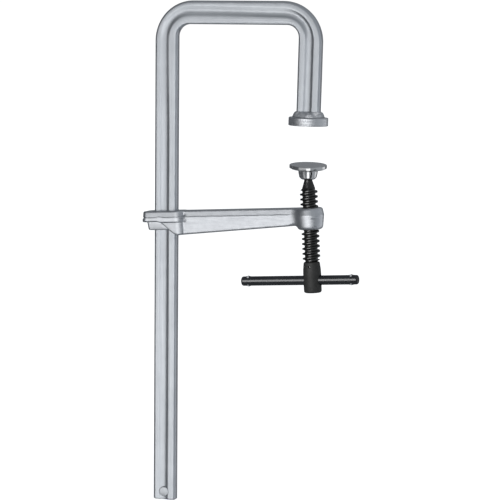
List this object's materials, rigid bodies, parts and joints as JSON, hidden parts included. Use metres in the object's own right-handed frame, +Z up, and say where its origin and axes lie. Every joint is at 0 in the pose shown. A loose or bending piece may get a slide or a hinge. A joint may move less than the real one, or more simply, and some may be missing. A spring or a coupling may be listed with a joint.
{
  "type": "deep-throat sliding-arm clamp",
  "caption": "All-steel bar clamp with a square bow that reaches over obstacles, a sliding arm, a screw spindle with a swivel pad and a sliding tommy bar.",
  "frame": {"origin": "centre of the fixed jaw's clamping face", "axes": "+Z up the rail, +X from the rail towards the jaws and out of the throat, Y through the rail's thickness with the shown front at -Y"},
  "size_m": [0.2312, 0.04, 0.518],
  "materials": {
    "plated_rail": "satin plated, fine lengthwise grain",
    "turned_foot": "turned, plated",
    "foot_weld": "rough, plated over",
    "forged_arm": "forged, satin plated",
    "black_spindle": "black oxide, oiled",
    "black_head": "black oxide, dull",
    "black_bar": "black, semi-gloss",
    "inner_steel": "hardened, plain",
    "bright_pad": "bright plated, ground face"
  },
  "bodies": {
    "frame": {"rail": "plated_rail", "fixed_foot": "turned_foot", "foot_weld": "foot_weld", "end_stop_pin": "plated_rail"},
    "arm": {"sliding_arm": "forged_arm"},
    "swivel_seat": {"thrust_seat": "inner_steel"},
    "spindle": {"spindle_rod": "black_spindle", "spindle_head": "black_head", "head_pin": "black_spindle"},
    "handle": {"tommy_bar": "black_bar"},
    "pad_ring": {"pad_retaining_ring": "inner_steel"},
    "pad": {"pressure_plate": "bright_pad"}
  },
  "joints": [
    {"name": "arm_slide", "type": "slide", "parent": "frame", "child": "arm", "axis": [0, 0, 1], "range_m": [-0.2694, 0.0362]},
    {"name": "spindle_feed", "type": "slide", "parent": "arm", "child": "swivel_seat", "axis": [0.0558, 0, -0.9984], "range_m": [-0.0325, 0.027]},
    {"name": "spindle_turn", "type": "hinge", "parent": "swivel_seat", "child": "spindle", "pos_m": [0.00223, 0, -0.08243], "axis": [0.0558, 0, -0.9984], "range_deg": [-2340.5, 1944.5]},
    {"name": "bar_slide", "type": "slide", "parent": "spindle", "child": "handle", "axis": [0.9984, 0, 0.0558], "range_m": [-0.0302, 0.0572]},
    {"name": "pad_tilt_side", "type": "hinge", "parent": "swivel_seat", "child": "pad_ring", "pos_m": [0.00035, 0, -0.04888], "axis": [0, 1, 0], "range_deg": [-13.3, 2.7]},
    {"name": "pad_tilt_front", "type": "hinge", "parent": "pad_ring", "child": "pad", "pos_m": [0.00035, 0, -0.04888], "axis": [0.9993, 0, -0.0366], "range_deg": [-12.8, 3.2]}
  ],
  "couplings": [
    {"joint": "spindle_turn", "follows": "spindle_feed", "rad_per_m": 1256.6}
  ]
}
